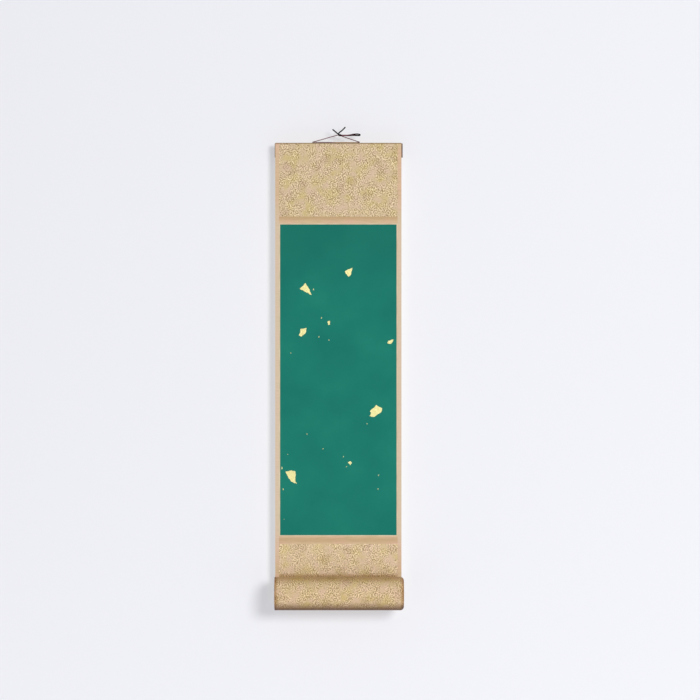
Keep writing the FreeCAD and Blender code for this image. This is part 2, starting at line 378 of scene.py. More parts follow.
brocadeLook = {
    "ground": srgb(211, 187, 149),
    "shade": srgb(152, 126, 82),
    "gold": srgb(246, 224, 180),
    "pink": srgb(217, 189, 161),
    "olive": srgb(208, 186, 130),
    "driftSize": 7.0,
    "wander": 2.4,             # how far the pattern strays from an even spacing
    "curlSize": 5.0,
    "curlScatter": 0.85,       # 0 sets the middles in even rows, 1 scatters them
    "curlLine": 1.95,          # from one line of a curl to the next
    "curlHeight": 0.9,
    "bloomSize": 19.0,         # from one blossom to the next
    "bloomScatter": 0.9,
    "bloomRim": 3.9,           # a blossom's radius
    "bloomHeart": 0.4,         # its inner ring, as a share of the rim
    "bloomLine": (0.75, 0.25),
    "bloomChance": (0.35, 0.45),
    "bloomHeight": -0.3,
    "petals": 5.0,
    "petalDepth": 0.13,
    "spraySize": 1.25,
    "sprayHeight": 2.2,
    "quietSize": 10.0,
    "quietRange": (0.36, 0.56),
    "quietShare": 0.3,         # what is left of the figure in the quiet ground
    "patchSize": 13.0,
    "oliveRange": (0.50, 0.66),
    "pinkRange": (0.50, 0.34),
    "shadeRange": (0.42, -0.05),
    "goldRange": (0.62, 1.0),
    "gleam": (0.62, 0.42),     # roughness of the ground and of the gold thread
    # size and wander of the edge of the painted shade at the roller's ends
    "endShadeSize": 6.0,
    "endShadeWander": 3.0,
    "thread": 0.32,
    "threadShare": 0.10,
    "reliefDepth": 0.10 * mm,
    "threadDepth": 0.03 * mm,
}


def polar(finish, place, size, randomness):
    # Distance in millimetres and angle about the middle of each cell, and three chances for the cell
    cells = finish.node("TexVoronoi", {"Vector": place, "Scale": 1 / size, "Randomness": randomness},
                        voronoi_dimensions="2D", feature="F1")
    arm = finish.split(finish.vector("SUBTRACT", place, cells.outputs["Position"]))
    chance = finish.split(cells.outputs["Color"])
    distance = finish.math("MULTIPLY", cells.outputs["Distance"], size)
    return distance, finish.math("ARCTAN2", arm[1], arm[0]), chance


def curlLines(finish, place):
    # Each cell of the pattern winds about its own middle, to one hand or the other
    look = brocadeLook
    distance, angle, chance = polar(finish, place, look["curlSize"], look["curlScatter"])
    turn = finish.math("MULTIPLY", angle, finish.math("SIGN", finish.math("SUBTRACT", chance[1], 0.5)))
    reach = finish.math("MULTIPLY", distance, 2 * math.pi / look["curlLine"])
    wound = finish.math("ADD", finish.math("ADD", reach, turn), finish.math("MULTIPLY", chance[0], 6.0))
    return finish.math("MULTIPLY_ADD", finish.math("SINE", wound), 0.5, 0.5)


def blossoms(finish, place):  # a lobed rim and an inner ring, here and there
    look = brocadeLook
    distance, angle, chance = polar(finish, place, look["bloomSize"], look["bloomScatter"])
    start = finish.math("MULTIPLY", chance[0], 6.0)
    lobes = finish.math("SINE", finish.math("MULTIPLY_ADD", angle, look["petals"], start))
    radius = finish.math("MULTIPLY", distance, finish.math("MULTIPLY_ADD", lobes, look["petalDepth"], 1.0))
    offRim = finish.math("ABSOLUTE", finish.math("SUBTRACT", radius, look["bloomRim"]))
    ring = look["bloomRim"] * look["bloomHeart"]
    offRing = finish.math("ABSOLUTE", finish.math("SUBTRACT", radius, ring))
    near = finish.math("MINIMUM", offRim, offRing)
    present = finish.between(chance[2], *look["bloomChance"])
    return finish.math("MULTIPLY", finish.between(near, *look["bloomLine"]), present)


def shadeEnds(finish, place, ends, colour):  # painted shade towards the roller's rounded ends
    across = finish.split(place)[0]
    inward = finish.math("MINIMUM", finish.math("SUBTRACT", across, ends["from"]),
                         finish.math("SUBTRACT", ends["to"], across))
    shadeEdge = finish.noise(place, brocadeLook["endShadeSize"], 2.0)
    shadeEdge = finish.math("MULTIPLY_ADD", shadeEdge, brocadeLook["endShadeWander"], inward)
    shadedShare = finish.between(shadeEdge, ends["reach"], ends["core"], 0.0, ends["share"])
    return finish.mix(shadedShare, colour, ends["colour"], "MULTIPLY")


def brocadeFinish(name, lines, ends=None):
    look = brocadeLook
    finish = Finish(name, 0.55, Specular_IOR_Level=0.3, Sheen_Weight=0.1, Sheen_Roughness=0.4)
    place = finish.cloth()
    drift = finish.noise(place, look["driftSize"], 1.0, colour=True)
    drift = finish.vector("SUBTRACT", drift, (0.5, 0.5, 0.5))
    bent = finish.vector("ADD", place, finish.scaled(drift, look["wander"]))
    # The figure: curls and sprays of short strokes, with quiet ground between them, and blossoms sunk in it
    curls = curlLines(finish, bent)
    bloom = blossoms(finish, place)
    sprays = finish.noise(bent, look["spraySize"], 2.0, 0.6, (1, 0.7, 1))
    quiet = finish.noise(place, look["quietSize"], 2.0)
    quiet = finish.between(quiet, *look["quietRange"], look["quietShare"], 1.0)
    figure = finish.math("MULTIPLY_ADD", finish.math("SUBTRACT", sprays, 0.5), look["sprayHeight"],
                         finish.math("MULTIPLY", curls, look["curlHeight"]))
    figure = finish.math("MULTIPLY_ADD", finish.math("SUBTRACT", figure, 0.45), quiet, 0.47)
    figure = finish.math("MULTIPLY_ADD", bloom, look["bloomHeight"], figure)
    threads = weave(finish, place, look["thread"])
    # Colour: the ground drifts between tan, olive and a dusty pink
    patches = finish.noise(place, look["patchSize"], 2.0)
    ground = finish.mix(finish.between(patches, *look["oliveRange"]), look["ground"], look["olive"])
    ground = finish.mix(finish.between(patches, *look["pinkRange"]), ground, look["pink"])
    colour = finish.mix(finish.between(figure, *look["shadeRange"]), ground, look["shade"])
    colour = finish.mix(finish.between(figure, *look["goldRange"]), colour, look["gold"])
    colour = finish.mix(finish.math("MULTIPLY", threads, look["threadShare"]), colour, look["shade"])
    colour = shadeLines(finish, finish.split(place)[1], lines, colour)
    if ends:
        colour = shadeEnds(finish, place, ends, colour)
    relief = finish.bump(figure, look["reliefDepth"])
    normal = finish.bump(threads, look["threadDepth"], relief)
    gleam = finish.between(figure, 0.5, 1.0, *look["gleam"])
    return finish.use(Base_Color=colour, Roughness=gleam, Normal=normal)


backLook = {
    "paper": srgb(236, 230, 214),
    "aged": srgb(228, 220, 201),
    "fibre": srgb(206, 193, 166),
    "cloudSize": 60.0,
    "cloudRange": (0.3, 0.75),
    "fibreSize": 2.4,
    "fibreStretch": (0.3, 1, 1),
    "fibreRange": (0.60, 0.72),
    "fibreShare": 0.5,
    "grainSize": 0.35,
    "grainDepth": 0.03 * mm,
}


def backingFinish():
    finish = Finish("backingPaper", 0.85, Specular_IOR_Level=0.25)
    place = finish.cloth()
    clouds = finish.noise(place, backLook["cloudSize"], 3.0)
    fibres = finish.noise(place, backLook["fibreSize"], 6.0, 0.7, backLook["fibreStretch"])
    grain = finish.noise(place, backLook["grainSize"], 3.0)
    colour = finish.mix(finish.between(clouds, *backLook["cloudRange"]), backLook["paper"],
                        backLook["aged"])
    shown = finish.between(fibres, *backLook["fibreRange"], 0.0, backLook["fibreShare"])
    colour = finish.mix(shown, colour, backLook["fibre"])
    height = finish.math("MULTIPLY_ADD", fibres, 0.7, grain)
    return finish.use(Base_Color=colour, Normal=finish.bump(height, backLook["grainDepth"]))


woodLook = {
    "dark": srgb(58, 31, 22),
    "brown": srgb(98, 58, 40),
    "pores": srgb(38, 20, 15),
    "driftSize": 22.0,
    "driftStretch": (0.12, 1, 1),
    "wander": 6.0,             # how far the rings stray from round
    "ringGap": 2.1,
    "poreSize": 0.35,
    "poreStretch": (0.06, 1, 1),
    "poreRange": (0.58, 0.7),
    "poreDepth": 0.04 * mm,
    "polish": (0.36, 0.55),    # roughness of the sound wood and of the pores
}


def woodFinish(name, heart):  # heart is where the rings have their middle, and the grain runs along X
    finish = Finish(name, 0.42, Specular_IOR_Level=0.35, Coat_Weight=0.1, Coat_Roughness=0.3)
    place = finish.vector("SUBTRACT", finish.solid(), heart)
    drift = finish.noise(place, woodLook["driftSize"], 2.0, 0.5, woodLook["driftStretch"], colour=True)
    bent = finish.vector("ADD", place, finish.scaled(drift, woodLook["wander"]))
    rings = finish.vector("LENGTH", finish.vector("MULTIPLY", bent, (0, 1, 1)))
    growth = finish.waves(rings, woodLook["ringGap"])
    pores = finish.noise(place, woodLook["poreSize"], 2.0, 0.6, woodLook["poreStretch"])
    colour = finish.mix(growth, woodLook["dark"], woodLook["brown"])
    colour = finish.mix(finish.between(pores, *woodLook["poreRange"]), colour, woodLook["pores"])
    height = finish.math("MULTIPLY_ADD", pores, -1.0, finish.math("MULTIPLY", growth, 0.3))
    rough = finish.between(pores, 0.3, 0.7, *woodLook["polish"])
    normal = finish.bump(height, woodLook["poreDepth"])
    return finish.use(Base_Color=colour, Roughness=rough, Normal=normal)


bronzeLook = {
    "metal": srgb(186, 158, 112),
    "tarnish": srgb(120, 92, 62),
    "spotSize": 0.5,
    "spotRange": (0.4, 0.65),
    "polish": (0.3, 0.6),      # roughness of the metal and of its tarnish
    "depth": 0.01 * mm,
}


def bronzeFinish():
    finish = Finish("bronze", 0.4, Metallic=1.0)
    place = finish.solid()
    tarnish = finish.noise(place, bronzeLook["spotSize"], 4.0)
    tarnish = finish.between(tarnish, *bronzeLook["spotRange"])
    colour = finish.mix(tarnish, bronzeLook["metal"], bronzeLook["tarnish"])
    rough = finish.between(tarnish, 0.0, 1.0, *bronzeLook["polish"])
    normal = finish.bump(tarnish, bronzeLook["depth"])
    return finish.use(Base_Color=colour, Roughness=rough, Normal=normal)


goldLook = {
    "gold": srgb(243, 243, 180),
    "deep": srgb(228, 212, 128),
    "crinkleSize": 0.9,
    "foldWidth": 0.12,
    "polish": (0.3, 0.55),
    "depth": 0.10 * mm,
}


def goldFinish():
    finish = Finish("goldLeaf", 0.42, Metallic=0.3, Specular_IOR_Level=0.6)
    place = finish.solid()
    folds = finish.noise(place, goldLook["crinkleSize"], 4.0, 0.62)
    sharp = finish.math("ABSOLUTE", finish.math("SUBTRACT", folds, 0.5))
    colour = finish.mix(finish.between(sharp, 0.0, goldLook["foldWidth"]), goldLook["deep"],
                        goldLook["gold"])
    rough = finish.between(folds, 0.35, 0.65, *goldLook["polish"])
    return finish.use(Base_Color=colour, Roughness=rough, Normal=finish.bump(sharp, goldLook["depth"]))


def paint(piece, material):
    piece.data.materials.clear()
    piece.data.materials.append(material)


def standFor(piece, node):
    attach(piece, "root")
    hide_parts(node)


# Cords, on the route that the design gives them

hangingCord = {
    "diameter": 0.8 * mm,
    "length": 101 * mm,
    "light": srgb(128, 78, 84),
    "dark": srgb(84, 42, 44),
    "faded": srgb(176, 142, 104),      # over the right half of the head
    "fadedAt": 0.67,                   # places along a cord run from 0 to 1
    "fadedReach": (0.12, 0.09),        # the tint starts and is full this far off
    "route": [
        (0.0015, 0.0, -0.0006),
        (0.0, 0.0, 0.0),
        (-0.0046, -0.00005, -0.00131),     # beside the hook
        (-0.0220, -0.00025, -0.00629),     # beside the left eyelet
        (-0.0266, -0.0003, -0.0076),
        (-0.0266, 0.0015, -0.00755),
        (-0.0218, 0.00147, -0.00758),
        (-0.0090, 0.0014, -0.00765),
        (0.0065, 0.0016, -0.00766),
        (0.0171, 0.00153, -0.00758),
        (0.0219, 0.0015, -0.00755),
        (0.0219, -0.0003, -0.0076),
        (0.0174, -0.00023, -0.00608),      # beside the right eyelet
        (0.0022, 0.0, -0.00092),
    ],
}

tieCord = {
    "diameter": 1.3 * mm,
    "length": 65 * mm,
    "light": srgb(62, 22, 28),
    "dark": srgb(34, 12, 16),
    "worn": srgb(122, 82, 92),         # where the loop leaves the knot
    "wornReach": (0.20, 0.30),
    "black": srgb(14, 8, 10),          # at the loop's end and at both tails
    "loopEnd": 0.495,
    "blackReach": (0.15, 0.08),
    "tailReach": (0.345, 0.365),
    "route": [
        (-0.0060, -0.0007, 0.0056),
        (-0.0033, -0.0010, 0.0034),
        (0.0009, -0.00115, -0.0004),
        (0.0054, -0.00115, -0.0006),
        (0.0108, -0.0010, -0.0005),
        (0.0154, -0.00095, 0.0005),
        (0.0194, -0.00095, 0.00085),
        (0.0223, -0.00095, 0.00045),
        (0.0223, 0.00095, -0.00065),
        (0.0194, 0.00095, -0.00065),
        (0.0156, 0.00095, -0.00035),
        (0.0110, 0.0010, -0.0007),
        (0.0056, 0.00115, -0.00075),
        (0.0005, 0.00115, -0.0007),
        (0.0001, 0.00115, 0.0019),
        (0.0037, 0.0009, 0.0043),
        (0.0073, 0.0006, 0.0081),
    ],
}


cordTwist = {"strands": 3, "lay": 3, "fuzzSize": 0.25, "runSteps": 12, "bevelSteps": 4, "relief": 0.08}


def cordFinish(name, cord, tint=None):
    # The cord's own map runs 0 to 1 along it and 0 to 1 round it; the lay and the relief are in diameters
    finish = Finish(name, 0.8, Specular_IOR_Level=0.1)
    place = finish.split(finish.node("TexCoord").outputs["UV"])
    turns = cordTwist["strands"] * cord["length"] / (cordTwist["lay"] * cord["diameter"])
    along = finish.math("MULTIPLY", place[0], turns)
    around = finish.math("MULTIPLY", place[1], cordTwist["strands"])
    ply = finish.waves(finish.math("ADD", along, around), 1.0)
    fuzz = finish.noise(finish.solid(), cordTwist["fuzzSize"], 3.0)
    colour = finish.mix(ply, cord["dark"], cord["light"])
    colour = finish.mix(finish.between(fuzz, 0.55, 0.75, 0.0, 0.5), colour, cord["dark"])
    if tint:
        colour = tint(finish, place[0], colour)
    height = finish.math("MULTIPLY_ADD", fuzz, 0.3, ply)
    normal = finish.bump(height, cordTwist["relief"] * cord["diameter"])
    return finish.use(Base_Color=colour, Normal=normal)


def hangingTint(finish, along, colour):
    off = finish.math("ABSOLUTE", finish.math("SUBTRACT", along, hangingCord["fadedAt"]))
    return finish.mix(finish.between(off, *hangingCord["fadedReach"]), colour, hangingCord["faded"])


def tieTint(finish, along, colour):
    off = finish.math("ABSOLUTE", finish.math("SUBTRACT", along, tieCord["loopEnd"]))
    colour = finish.mix(finish.between(off, *tieCord["wornReach"]), colour, tieCord["worn"])
    colour = finish.mix(finish.between(off, *tieCord["blackReach"]), colour, tieCord["black"])
    return finish.mix(finish.between(off, *tieCord["tailReach"]), colour, tieCord["black"])


def layCord(name, cord, tint):
    curve = bpy.data.curves.new(name, "CURVE")
    curve.dimensions = "3D"
    curve.resolution_u = cordTwist["runSteps"]
    curve.bevel_depth = cord["diameter"] / 2
    curve.bevel_resolution = cordTwist["bevelSteps"]
    curve.use_fill_caps = True
    spline = curve.splines.new("NURBS")
    spline.points.add(len(cord["route"]) - 1)
    for point, place in zip(spline.points, cord["route"]):
        point.co = (*place, 1.0)
    spline.order_u = 3
    spline.use_endpoint_u = True
    piece = bpy.data.objects.new(name, curve)
    bpy.context.scene.collection.objects.link(piece)
    paint(piece, cordFinish(name, cord, tint))
    return piece


hangingLine = layCord("hanging_line", hangingCord, hangingTint)
tieLine = layCord("tie_line", tieCord, tieTint)
standFor(hangingLine, "hanging_cord")
standFor(tieLine, "tie_cord")

# The knot: the cord's own turns, drawn tight round the strands

knot = {
    "turns": 2,
    "diameter": 1.0 * mm,
    "length": 20 * mm,
    "pitch": 0.95 * mm,
    "reachY": 1.6 * mm,            # from the middle of the knot to the middle of a turn
    "reachZ": 0.9 * mm,
    "sides": 14,
    "stepsInTurn": 28,
    "light": tieCord["light"],
    "dark": tieCord["dark"],
}
knotLow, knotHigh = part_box("tie_knot")
knotMiddle = (knotLow + knotHigh) / 2


def tieKnot():
    run = knot["turns"] * knot["pitch"]
    start = knotMiddle + Vector((-run / 2, knot["reachY"], 0))
    onlySelect()
    bpy.ops.mesh.primitive_circle_add(vertices=knot["sides"], radius=knot["diameter"] / 2, location=start,
                                      fill_type="NGON")
    piece = named("knot_turns")
    bpy.ops.object.transform_apply(location=True, rotation=True, scale=True)
    startEdit(piece)
    bpy.ops.mesh.select_all(action="SELECT")
    steps = knot["stepsInTurn"] * knot["turns"]
    for step in range(steps):
        bpy.ops.mesh.extrude_region_move()
        bpy.ops.transform.rotate(value=2 * math.pi / knot["stepsInTurn"], orient_axis="X",
                                 center_override=knotMiddle)
        bpy.ops.transform.translate(value=(run / steps, 0, 0))
    bpy.ops.mesh.select_all(action="SELECT")
    bpy.ops.transform.resize(value=(1, 1, knot["reachZ"] / knot["reachY"]), center_override=knotMiddle)
    bpy.ops.mesh.normals_make_consistent(inside=False)
    endEdit()
    bpy.ops.object.shade_smooth_by_angle(angle=smoothBelow)
    return piece


knotTurns = tieKnot()
paint(knotTurns, cordFinish("knotCord", knot))
standFor(knotTurns, "tie_knot")

print("scroll: cords laid")


# Cloth and paper. A layer starts flat, and some run on round the rod and over the stave.
# Angles round the rod are in degrees, from straight back and downwards: 90 is below it and 180 in front.

cloth = {
    "row": 4 * mm,                 # height of a row of faces
    "columns": 30,                 # faces across a full width
    "rodSteps": 96,                # rows round the rod
    "cornerSteps": 10,             # rows over the stave's upper corner, down its back and in below it
    "arcSteps": 20,
    "lastSteps": 6,
    "turnEnd": 30.0,               # degrees above straight back where the layers end on the rod
    "waveHeight": 0.7 * mm,        # how far the hung sheet stands in and out of flat
    "waveSize": 70 * mm,
    "calm": 45 * mm,               # the sheet lies flat this near the stave and the roller
    "belowStave": 4 * mm,
    "flatReach": 3 * mm,           # only what is this near the hung sheet takes part in its waves
}

waveTexture = bpy.data.textures.new("sheetWaves", "CLOUDS")
waveTexture.noise_scale = cloth["waveSize"]
waveTexture.noise_depth = 1


def clothRun(place, depth):
    # How far up the cloth a place lies, from the height of the rod's axis; depth is the layer's own
    underCorner = staveZ - 2 * cornerReach
    if place.z < rodZ or place.y < depth - 0.6 * mm:
        turn = math.atan2(rodZ - place.z, place.y - rodY) % (2 * math.pi)
        return -turn * (depth - rodY)
    if place.z <= underCorner or (place.z < foldZ and place.y < depth + 1 * mm):
        return place.z - rodZ
    overCorner = math.atan2(place.z - foldZ, cornerY - place.y)
    cornerTurn = math.pi - arcLean
    if 0 <= overCorner < cornerTurn and place.z >= foldZ:
        return foldZ - rodZ + overCorner * (cornerY - depth)
    down = arcLean - math.atan2(place.z - staveZ, place.y - arcY)
    length = foldZ - rodZ + cornerTurn * (cornerY - depth)
    return length + down * (arcRadius + staveLow.y - depth)


def mapCloth(piece, depth):
    layer = piece.data.uv_layers[0]
    layer.name = "clothMap"
    runs = [clothRun(vertex.co, depth) for vertex in piece.data.vertices]
    for loop in piece.data.loops:
        place = piece.data.vertices[loop.vertex_index].co
        layer.data[loop.index].uv = (place.x, runs[loop.vertex_index])


def slackAt(place):  # 0 where the sheet is held, 1 where it hangs free
    if abs(place.y) > cloth["flatReach"]:
        return 0.0
    heldTop = staveLow.z - cloth["belowStave"]
    fromRoller = smoothStep(wrapHigh.z, wrapHigh.z + cloth["calm"], place.z)
    return fromRoller * smoothStep(heldTop, heldTop - cloth["calm"], place.z)


rodEnd = {
    "round": 3.5 * mm,
    "fadeTurn": 30.0,                  # the layers are pressed in from this far round
    "grip": 0.96,                      # and by this share of the rod's own rounding
    "cuts": (3.5, 2.6, 1.9, 1.45),     # rows of cuts, in millimetres from the rod's end
}
rodEndCuts = [rodHigh.x - drop * mm for drop in rodEnd["cuts"]]


def pressAt(place, depth):  # how far the layers are pressed in over the rod's rounded right end
    if place.y > depth - 1 * mm and place.z > rodZ + tiny:
        return 0.0  # on the flat part
    fromFace = rodHigh.x - rodEnd["round"]
    along = min(rodEnd["round"], max(0.0, place.x - fromFace))
    drop = rodEnd["round"] - math.sqrt(rodEnd["round"] ** 2 - along ** 2)
    turn = (math.degrees(math.atan2(rodZ - place.z, place.y - rodY)) + 1) % 360 - 1
    beyondSheet = smoothStep(sheetHigh.x, sheetHigh.x + 1 * mm, place.x)
    held = max(smoothStep(0, rodEnd["fadeTurn"], turn), beyondSheet)
    return rodEnd["grip"] * drop / rodEnd["round"] * held


def cutAcross(x):  # a row of cuts down the whole layer, at x
    bpy.ops.mesh.select_all(action="SELECT")
    bpy.ops.mesh.bisect(plane_co=(x, 0, 0), plane_no=(1, 0, 0))


def pickRow(y, z):  # the row of edges across the layer at one place
    pick("EDGE", lambda ends: all(abs(end.y - y) + abs(end.z - z) < 20 * tiny for end in ends))


def spin(steps, degrees, centreY, centreZ):
    bpy.ops.mesh.spin(steps=steps, angle=math.radians(degrees), center=(0, centreY, centreZ),
                      axis=(1, 0, 0))


def foldOverStave(top, depth, tuck):
    # Over the upper corner, down the arc behind and in below the lower one, to tuck behind the flat part
    lean = math.degrees(arcLean)
    pick("EDGE", lambda ends: all(abs(end.z - top) < tiny and end.y < cornerY for end in ends))
    spin(cloth["cornerSteps"], 180 - lean, cornerY, foldZ)
    reach = arcRadius + staveLow.y - depth
    backY = arcY + reach * math.cos(arcLean)
    rise = reach * math.sin(arcLean)
    pickRow(backY, staveZ + rise)
    spin(cloth["arcSteps"], 2 * lean, arcY, staveZ)
    pickRow(backY, staveZ - rise)
    unturned = math.degrees(math.acos((cornerY - depth - tuck) / (cornerY - depth)))
    spin(cloth["lastSteps"], 180 - unturned - lean, cornerY, 2 * staveZ - foldZ)


def spreadLayer(name, left, right, foot, top, depth, thick, columns=cloth["columns"], roundRod=False,
                overStave=False, endCuts=(), turnEnd=None, flatRows=None, flapEnd=None):
    onlySelect()
    middle = ((left + right) / 2, depth, (foot + top) / 2)
    bpy.ops.mesh.primitive_plane_add(size=1, location=middle, rotation=(math.pi / 2, 0, 0))
    piece = named(name)
    piece.scale = (right - left, top - foot, 1)
    bpy.ops.object.transform_apply(location=True, rotation=True, scale=True)
    startEdit(piece)
    rows = flatRows or max(2, round((top - foot) / cloth["row"]))
    pick("EDGE", lambda ends: abs(ends[0].x - ends[1].x) < tiny)
    bpy.ops.mesh.subdivide(number_cuts=rows - 1)
    pick("EDGE", lambda ends: abs(ends[0].z - ends[1].z) < tiny)
    bpy.ops.mesh.subdivide(number_cuts=columns - 1)
    for x in endCuts:
        cutAcross(x)
    if roundRod:
        pick("EDGE", lambda ends: all(abs(end.z - foot) < tiny for end in ends))
        spin(cloth["rodSteps"], turnEnd or 360 - cloth["turnEnd"], rodY, rodZ)
    if overStave:
        foldOverStave(top, depth, overStave)
    if flapEnd:
        # The flap is trimmed to the sheet's edge, and the skin is wider below it
        pick("VERT", lambda ends: ends[0].x > flapEnd and ends[0].y > depth - tiny
             and ends[0].z > foot + tiny)
        bpy.ops.transform.resize(value=(0, 1, 1), center_override=(flapEnd, 0, 0))
    bpy.ops.mesh.select_all(action="SELECT")
    bpy.ops.mesh.remove_doubles(threshold=tiny)
    bpy.ops.mesh.normals_make_consistent(inside=False)
    # The back of the flat part is the outside where the layer goes round the rod
    shape = bmesh.from_edit_mesh(piece.data)
    back = [face.normal.y for face in shape.faces if abs(face.calc_center_median().y - depth) < tiny]
    if sum(back) < 0:
        bpy.ops.mesh.flip_normals()
    endEdit()
    finishLayer(piece, depth, thick, roundRod)
    return piece


def finishLayer(piece, depth, thick, roundRod):
    slack = weigh(piece, "slack", slackAt)
    modify(piece, "DISPLACE", texture=waveTexture, texture_coords="LOCAL", direction="Y",
           strength=cloth["waveHeight"], mid_level=0.5, vertex_group=slack)
    if roundRod:
        pressed = weigh(piece, "pressed", lambda place: pressAt(place, depth))
        modify(piece, "DISPLACE", direction="NORMAL", strength=-rodEnd["round"], mid_level=0.0,
               vertex_group=pressed)
    modify(piece, "SOLIDIFY", thickness=thick, offset=0)
    onlySelect(piece)
    bpy.ops.object.shade_smooth_by_angle(angle=smoothBelow)
    mapCloth(piece, depth)


greenPaper = greenPaperFinish()
palePaper = palePaperFinish()
# Painted shade along the fold over the stave, painted light and painted crease shade at the foot, and
# lighter beside the paper
foldRun = 1000 * (foldZ - rodZ + 1.1 * (cornerY - silkDepth))
# painted shade where the cloth turns over the stave's top
foldShade = {"at": foldRun, "reach": 1.7, "core": 0.4, "share": 0.75, "colour": srgb(128, 102, 68)}
brocade = brocadeFinish("brocade", [foldShade])
# painted light: the lower brocade made paler towards the roller, which shades it
footPaintedLight = {"at": 0.0, "reach": 90.0, "core": 0.7, "share": 1.0, "colour": srgb(69, 56, 48), "blend": "ADD"}
# painted shade in the crease above the roller
footCreaseShade = {"at": 1000 * rodRadius - 6.0, "reach": 10.0, "core": 0.65, "share": 0.8,
              "colour": srgb(192, 170, 130), "blend": "MULTIPLY"}
# a copy of the brocade with painted light and painted shade for the lower panel
footBrocade = brocadeFinish("lowerBrocade", [footPaintedLight, footCreaseShade])
# the silk made lighter beside the paper
besidePaper = {"at": 1000 * ((paperLow.z + paperHigh.z) / 2 - rodZ), "core": 0.8, "share": 0.42,
               "reach": 600 * (paperHigh.z - paperLow.z), "colour": silkLook["paler"]}
silk = silkFinish("silk", [foldShade, besidePaper])
# painted shade along the upper band's join with the brocade
upperJoinShade = {"at": 1000 * (columnHigh.z - rodZ), "reach": 5.5, "core": 0.2, "share": 0.8,
             "colour": silkLook["paintedShade"]}
# painted shade along the lower band's middle
lowerMiddleShade = {"at": 1000 * ((footLow.z + footHigh.z) / 2 - rodZ), "reach": 3.5, "core": 0.3, "share": 0.5,
               "colour": silkLook["paintedShade"]}
bandSilk = silkFinish("bandSilk", [upperJoinShade, lowerMiddleShade])
backing = backingFinish()


def flatLayer(name, node, depth, thick, material, columns=cloth["columns"]):
    low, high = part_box(node)
    piece = spreadLayer(name, low.x, high.x, low.z, high.z, depth, thick, columns)
    paint(piece, material)
    standFor(piece, node)
    return piece


greenSheet = flatLayer("green_sheet", "green_paper", paperDepth, paperThick, greenPaper)
for side, columns in (("left", 2), ("right", 2), ("upper", cloth["columns"]), ("lower", cloth["columns"])):
    flatLayer(side + "_fillet", side + "_fillet_strip", filletDepth, filletThick, palePaper,
                             columns)
for side in ("upper", "lower"):
    flatLayer(side + "_band", side + "_silk_band", silkDepth, silkThick, bandSilk)
print("scroll: paper, fillets and bands spread")

for side, left, right in (("left", sheetLow.x, columnLow.x), ("right", columnHigh.x, sheetHigh.x)):
    cuts = rodEndCuts if side == "right" else ()
    piece = spreadLayer(side + "_border", left, right, rodZ, foldZ, silkDepth, silkThick, 3, roundRod=True,
                        overStave=staveLow.y - silkDepth, endCuts=cuts)
    paint(piece, silk)
    standFor(piece, side + "_silk_border")

upperBrocade = spreadLayer("upper_brocade", columnLow.x, columnHigh.x, columnHigh.z, foldZ, silkDepth,
                           silkThick, overStave=staveLow.y - silkDepth)
paint(upperBrocade, brocade)
standFor(upperBrocade, "upper_brocade_panel")

lowerBrocade = spreadLayer("lower_brocade", columnLow.x, columnHigh.x, rodZ, footLow.z, silkDepth,
                           silkThick, roundRod=True)
paint(lowerBrocade, footBrocade)
standFor(lowerBrocade, "lower_brocade_panel")

backSheet = spreadLayer("backing_sheet", sheetLow.x, sheetHigh.x, rodZ, foldZ, backingDepth, backingThick,
                        32, roundRod=True, overStave=backingThick, endCuts=rodEndCuts)
paint(backSheet, backing)
standFor(backSheet, "backing_paper")
print("scroll: borders, brocade and backing spread")


# The roller's brocade skin: a flap up behind the sheet, once round the rod, and a lip in front of the sheet

skin = {
    "lipAngle": 24.0,                      # degrees left open behind the lip
    "thickness": 0.35 * mm,
    "flap": 8 * mm,
    "flapRows": 4,
    "columns": 40,
    "rightCuts": (1.0, 0.7, 0.45, 0.25, 0.1),  # more rows of cuts, in millimetres from the rod's ends
    "leftCuts": (0.8, 0.4),
}


def rollSkin():
    depth = wrapHigh.y - skin["thickness"] / 2
    cuts = rodEndCuts + [rodHigh.x - drop * mm for drop in skin["rightCuts"]]
    cuts += [rodLow.x + drop * mm for drop in skin["leftCuts"]]
    return spreadLayer("roller_skin", wrapLow.x, wrapHigh.x, rodZ, rodZ + skin["flap"], depth,
                       skin["thickness"], skin["columns"], roundRod=True, endCuts=cuts,
                       turnEnd=360 - skin["lipAngle"], flatRows=skin["flapRows"], flapEnd=sheetHigh.x)


rollerSkin = rollSkin()

# Painted shade under the roller and over its top, and at both rounded ends
skinRadius = 1000 * (wrapHigh.y - skin["thickness"] / 2 - rodY)
# painted shade on the roller's underside
undersideShade = {"at": -skinRadius * math.radians(94), "reach": 17.5, "core": 0.42, "share": 1.0,
             "colour": srgb(140, 112, 76), "blend": "MULTIPLY"}
# painted shade on the roller's top
uppersideShade = {"at": -skinRadius * math.radians(266), "reach": 14.0, "core": 0.3, "share": 1.0,
             "colour": srgb(220, 202, 164), "blend": "MULTIPLY"}
aged = {"at": 0.0, "reach": 500.0, "core": 0.9, "share": 1.0, "colour": srgb(255, 250, 244),
        "blend": "MULTIPLY"}
# painted shade at the roller's ends
endShade = {"from": 1000 * wrapLow.x, "to": 1000 * wrapHigh.x, "reach": 5.4, "core": 2.0, "share": 0.9,
           "colour": srgb(190, 158, 112)}
paint(rollerSkin, brocadeFinish("rollerBrocade", [undersideShade, uppersideShade, aged], endShade))
standFor(rollerSkin, "roller_wrap")
print("scroll: roller skinned")


# Gold leaf: the flakes are torn at their edges and crinkled, and lie on the green paper

leaf = {
    "cuts": 6,
    "crumple": 0.22 * mm,
    "crumpleSize": 1.4 * mm,
    "tear": 1.9 * mm,
    "tearSize": {"X": 1.1 * mm, "Z": 1.43 * mm},  # unlike, so that the tears are not all slanted one way
    "thickness": 0.03 * mm,
}


